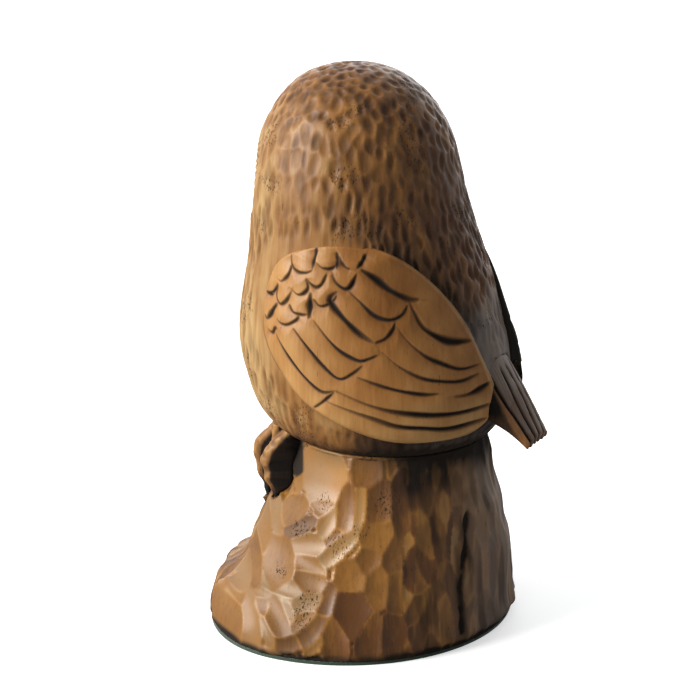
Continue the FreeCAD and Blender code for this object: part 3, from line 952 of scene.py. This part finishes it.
def make_tail():
    """A fan of feathers with V-cuts between them along the top and underneath."""
    tail = Carving("tail_fan", "tail", 0.36)
    points = tail.points
    x, y, z = points.T
    tip, root = (corner.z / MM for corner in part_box("tail"))
    down = np.clip((root - z) / (root - tip), 0, 1)
    half_width = np.interp(down, FAN_PLACES, FAN_HALF_WIDTHS)
    share = x / half_width
    upper = ramp(tail.normals[:, 1] + 0.6 * tail.normals[:, 2], 0.1, 0.5)
    lower = ramp(-tail.normals[:, 2], 0.3, 0.7)
    cut = np.zeros(len(z))
    for place in FAN_CUTS:
        wave = 0.03 * np.sin(down * 9.0 + place * 5)
        gap = np.abs(share - place - wave) * half_width
        cut = np.maximum(cut, np.clip(1 - gap / (FAN_CUT_WIDTH + 0.3 * down), 0, 1))
    height = above_skin("body", points)[2]
    clear = ramp(height, 0, 1)
    barbs = np.sin(x * 5.5 + 4 * np.sin(z * 0.21))
    tail.depth = FAN_CUT_DEPTH * cut * (upper + 0.7 * lower) * clear + 0.07 * (1 + barbs) * upper
    # Painted shade on the faces below the upper face, stronger in the half near the root.
    beneath = TAIL_TOP[0] + (TAIL_TOP[1] - TAIL_TOP[0]) * down - points @ TAIL_SLANT
    tail.dark = ramp(cut, 0.05, 0.6) * np.maximum(upper, 0.7 * lower) * clear
    tail.dark += 0.85 * ramp(beneath, 1.2, 3.2)
    tail.dark += 0.5 * ramp(beneath, 0.8, 2.4) * fall(down, 0.5, 0.75)
    # Painted light: the tail's sides, and all faces that don't look up, are paler.
    painted_lit_sides = ramp(np.abs(share), 0.66, 0.8) * ramp(down, 0.25, 0.5)
    # Painted sheen on the tail's upper face, most near its root.
    tail.painted_sheen = upper * (0.6 - 0.36 * ramp(height, 1, 8)) * (1 - painted_lit_sides)
    tail.tone = 0.3 + 0.5 * np.maximum(1 - upper, 0.7 * painted_lit_sides) + 0.05 * barbs
    tail.finish("tail_wood")


WEB_DEPTH = 5  # the toes' backs are drawn out this far, into the stump
WEB_TUCK = 2.5  # and this far towards the middle, on the outer toe
KNOB_WIDTH = 2.9  # the toes' marks are small and nearly round
KNOB_STRETCH = 1.1
CLAWS = (44, 52)  # heights over which the claws turn into the toes
WEB_START = (46, 52)
WEB_END = (65, 69)
OUTER_TOE = (24, 27)  # how far to the side the outer toe starts


def make_foot(side):
    """Lumpy toes with dark claws, and dark hollows between them: their backs and the webs drawn back into
    the stump carry black paint and painted shade.
    """
    foot = Carving(side + "_toes", side + "_foot", 0.33)
    x, _, z = foot.points.T
    facing_back = foot.normals[:, 1]
    bowl, shade, ridge = carve_marks(foot, KNOB_WIDTH, KNOB_STRETCH, 7)
    lump = patches(foot.points, 3.2, 4)
    foot.depth = 0.16 * np.clip(bowl, 0, None) + 0.3 * ramp(lump, 0.35, 0.7)
    web = ramp(facing_back, 0.4, 0.85) * ramp(z, *WEB_START) * fall(z, *WEB_END)
    foot.points[:, 1] += WEB_DEPTH * web
    foot.points[:, 0] -= WEB_TUCK * web * np.sign(x) * ramp(np.abs(x), *OUTER_TOE)
    # Dark claws, and the toes' backs and webs dark: black paint and painted shade of the hollows behind
    # the toes.
    foot.dark = np.maximum(fall(z, *CLAWS), 0.97 * ramp(facing_back, 0, 0.4))
    foot.dark += 0.25 * ramp(lump, 0.5, 0.75)
    foot.tone = 0.42 + 0.1 * shade + 0.2 * ridge - 0.25 * ramp(lump, 0.4, 0.7)
    foot.worn += 0.5
    foot.finish("toe_wood")


NOSTRIL = (2.3, 155)  # how far to the side, and how high
BEAK_TIP = (144, 149)
BEAK_HEIGHT = (146, 158)


def make_beak():
    """The hooked beak with a soft ridge down its middle and two nostrils."""
    beak = Carving("beak_hook", "beak", 0.24, rounds=4)
    z = beak.points[:, 2]
    side = np.abs(beak.points[:, 0])
    nostril = np.exp(-((side - NOSTRIL[0]) / 0.55) ** 2 - ((z - NOSTRIL[1]) / 1) ** 2)
    beak.depth = 0.45 * np.exp(-((side - 2.2) / 0.9) ** 2) * ramp(z, *BEAK_TIP) + 0.5 * nostril
    beak.dark = nostril
    beak.tone = 0.5 + 0.3 * ramp(z, *BEAK_HEIGHT)
    beak.finish("beak_wood")


# -------- eyes
EYE_SEGMENTS = 96


def turned_piece(name, profile, centre, look, across):
    """A round piece turned from a profile of (radius, distance forward) round the line of sight.

    The profile is in millimetres, and the centre is in metres.
    """
    up = Vector((0, 0, 1))
    points, rings, faces = [], [], []
    for radius, forward in profile:
        count = EYE_SEGMENTS if radius else 1
        rings.append(range(len(points), len(points) + count))
        for k in range(count):
            angle = 2 * math.pi * k / EYE_SEGMENTS
            spoke = across * math.cos(angle) + up * math.sin(angle)
            points.append(centre + look * (forward * MM) + spoke * (radius * MM))
    for ring, following in zip(rings, rings[1:]):
        for k in range(EYE_SEGMENTS):
            here, there = k % len(ring), k % len(following)
            next_here, next_there = (k + 1) % len(ring), (k + 1) % len(following)
            corners = (ring[here], following[there], following[next_there], ring[next_here])
            faces.append(tuple(dict.fromkeys(corners)))
    mesh = bpy.data.meshes.new(name)
    mesh.from_pydata(points, [], faces)
    mesh.update()
    shade_smooth(mesh)
    return placed(name, mesh)


EYE_RADIUS = (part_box("left_eye")[1].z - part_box("left_eye")[0].z) / 2 / MM
EYE_DOME = 2.6
DOME_STEPS = 14
PUPIL_RADIUS = 2.9
IRIS_RADIUS = EYE_RADIUS - 0.25
GLASS_BACK = -2.2  # the flat backs of the glass and of the iris, from the socket's rim
IRIS_BACK = -1.8


def glass_shell():
    """Clear polished glass that shows the iris inside and mirrors the lights."""
    make = new_material("eye_glass")
    clear = make.node("ShaderNodeBsdfTransparent").outputs[0]
    gloss = make.node("ShaderNodeBsdfGlossy", {"Roughness": 0.03}).outputs[0]
    edge = make.node("ShaderNodeFresnel", {"IOR": 1.38}).outputs[0]
    return make.show(make.node("ShaderNodeMixShader", {0: edge, 1: clear, 2: gloss}))


def iris_paint():
    """Amber fibres round a black pupil, with a dark ring outside."""
    make = new_material("eye_iris")
    fibres = make.noise(1400)
    reach = make.maths("ADD", make.value("reach"), make.span(fibres, 0.3, 0.7, -0.035, 0.035))
    share = PUPIL_RADIUS / EYE_RADIUS
    colour = make.tones(
        reach,
        [
            (share - 0.02, (0.004, 0.003, 0.003)),
            (share + 0.02, (0.22, 0.075, 0.01)),
            (share + 0.2, (0.72, 0.34, 0.03)),
            (0.82, (0.6, 0.24, 0.02)),
            (0.93, (0.05, 0.02, 0.01)),
        ],
    )
    return make.finish({"Base Color": colour, "Roughness": 0.55, "Specular IOR Level": 0.2})


EYE_GLASS = glass_shell()
EYE_IRIS = iris_paint()


def dome_profile():
    """The outline of the glass, from its foremost point round to the middle of its flat back."""
    ball = (EYE_RADIUS ** 2 + EYE_DOME ** 2) / (2 * EYE_DOME)
    angles = [math.asin(EYE_RADIUS / ball) * k / DOME_STEPS for k in range(DOME_STEPS + 1)]
    dome = [(ball * math.sin(angle), ball * math.cos(angle) - ball + EYE_DOME) for angle in angles]
    return dome + [(EYE_RADIUS, GLASS_BACK), (0, GLASS_BACK)]


def iris_profile():
    """The outline of the dished iris: a flat pupil, a small step, and a slope out to its edge."""
    dish = [(0, 0.55), (PUPIL_RADIUS * 0.6, 0.5)]
    dish += [(PUPIL_RADIUS + step, 0.45 + 0.25 * step) for step in (-0.15, 0, 0.15, 0.4)]
    for share in (0.3, 0.5, 0.7, 0.85, 1):
        dish.append((PUPIL_RADIUS + share * (IRIS_RADIUS - PUPIL_RADIUS), 0.62 - 0.75 * share ** 2))
    return dish + [(IRIS_RADIUS, IRIS_BACK), (0, IRIS_BACK)]


def make_eye(side):
    """A polished dome over a dished iris."""
    crest, look, across = eye_frame(side)
    rim = crest - look * (EYE_DOME * MM)
    glass = turned_piece(side + "_eye_glass", dome_profile(), rim, look, across)
    glass.data.materials.append(EYE_GLASS)
    iris = turned_piece(side + "_eye_iris", iris_profile(), rim, look, across)
    spots = read_points(iris.data) - np.array(rim) / MM
    sight = np.array(look)
    off = np.linalg.norm(spots - (spots @ sight)[:, None] * sight, axis=1)
    write_value(iris.data, "reach", off / EYE_RADIUS)
    iris.data.materials.append(EYE_IRIS)
    for piece in (glass, iris):
        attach(piece, "root")
        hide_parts(side + "_eye")


# -------- pieces that keep their CAD shape
def finish_cad_node(node, material):
    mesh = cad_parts[node].data
    mesh.materials.clear()
    mesh.materials.append(material)


# -------- the room
CAMERA_HEIGHT = 0.246
CAMERA_DISTANCE = 0.600
CAMERA_TURN = math.radians(117)  # round from the front, towards the owl's left
CAMERA_DROP = math.radians(14.04)
CAMERA_LENS = 87.6
FLOOR_GLOW = 0.5
FLOOR_HALF = 6
WHITE = (1, 1, 1, 1)
SKY_TINT = (0.96, 0.98, 1, 1)
ROOM_LIGHT = 0.12
# The backdrop's two bright parts: which way each lies, and how bright it is.
GLOWS = [
    ((-math.sin(CAMERA_TURN), math.cos(CAMERA_TURN), 0.25), 1.2),
    ((-0.2, 0.95, 0.2), 0.37),
]
# Each light's name, how far round from the camera it stands, how high it stands and how wide
# it is, in degrees, its strength and its colour.
SOFT_LIGHTS = [
    ("key", -74, 27, 36, 4.8, (1, 0.98, 0.95)),
    ("fill", 172, 12, 45, 1.4, (0.94, 0.97, 1)),
]


def make_floor():
    """A white floor that shows a soft shadow, and throws only a little light back up."""
    mesh = bpy.data.meshes.new("floor")
    corners = [(x * FLOOR_HALF, y * FLOOR_HALF, 0) for x, y in ((-1, -1), (1, -1), (1, 1), (-1, 1))]
    mesh.from_pydata(corners, [], [(0, 1, 2, 3)])
    make = new_material("floor")
    colour = make.tones(make.noise(3), [(0.3, (0.9, 0.9, 0.9)), (0.7, (0.94, 0.94, 0.94))])
    shown = make.node(
        "ShaderNodeBsdfPrincipled",
        {
            "Base Color": colour,
            "Roughness": 0.9,
            "Specular IOR Level": 0.1,
            "Emission Color": WHITE,
            "Emission Strength": FLOOR_GLOW,
        },
    )
    grey = make.node("ShaderNodeBsdfDiffuse", {"Color": (0.3, 0.3, 0.3, 1)})
    mesh.materials.append(make.show(grey, seen=shown))
    placed("floor", mesh)


def make_world():
    """A white backdrop: it lights the owl from behind and from its back, little from the camera."""
    world = bpy.data.worlds.new("studio")
    bpy.context.scene.world = world
    make = Nodes(world, "ShaderNodeOutputWorld")
    around = make.node("ShaderNodeTexCoord").outputs["Generated"]
    glows = []
    for towards, brightest in GLOWS:
        ahead = make.node("ShaderNodeVectorMath", {0: around, 1: towards}, operation="DOT_PRODUCT")
        share = ahead.outputs["Value"]
        glows.append(make.span(share, 0.1, 0.95, ROOM_LIGHT, brightest, interpolation_type="SMOOTHSTEP"))
    strength = make.maths("MAXIMUM", *glows)
    lit = make.node("ShaderNodeBackground", {"Color": SKY_TINT, "Strength": strength})
    shown = make.node("ShaderNodeBackground", {"Color": WHITE, "Strength": 1})
    make.show(lit, seen=shown)


def direction(turn, climb):
    """The way out at a turn round from the owl's front towards its left, and a climb."""
    flat = Vector((math.sin(turn), -math.cos(turn), 0))
    return flat * math.cos(climb) + Vector((0, 0, math.sin(climb)))


def aimed(name, data, place, back):
    """A lamp or camera at a place, with its back turned that way."""
    holder = placed(name, data)
    holder.location = place
    holder.rotation_euler = back.to_track_quat("Z", "Y").to_euler()
    return holder


def make_soft_light(name, turn, climb, spread, strength, colour):
    """A broad soft light from one side."""
    lamp = bpy.data.lights.new(name, "SUN")
    lamp.angle = math.radians(spread)
    lamp.energy = strength
    lamp.color = colour
    back = direction(CAMERA_TURN + math.radians(turn), math.radians(climb))
    aimed(name, lamp, back, back)


def make_camera():
    camera = bpy.data.cameras.new("camera")
    camera.lens = CAMERA_LENS
    camera.sensor_width = 36.0
    camera.shift_x = -0.003
    camera.clip_start = 0.01
    place = direction(CAMERA_TURN, 0) * CAMERA_DISTANCE + Vector((0, 0, CAMERA_HEIGHT))
    back = direction(CAMERA_TURN, CAMERA_DROP)
    bpy.context.scene.camera = aimed("camera", camera, place, back)


# -------- assembly
make_body()
for wing_side in ("left", "right"):
    make_wing(wing_side)
make_stump()
make_tail()
for foot_side in ("left", "right"):
    make_foot(foot_side)
make_beak()
for eye_side in ("left", "right"):
    make_eye(eye_side)
finish_cad_node("felt_pad", felt_cloth())
finish_cad_node("body_dowels", WOODS["dowel_wood"])

make_floor()
make_world()
for light in SOFT_LIGHTS:
    make_soft_light(*light)
make_camera()
bpy.context.scene.view_settings.view_transform = "Standard"

bpy.context.view_layer.update()
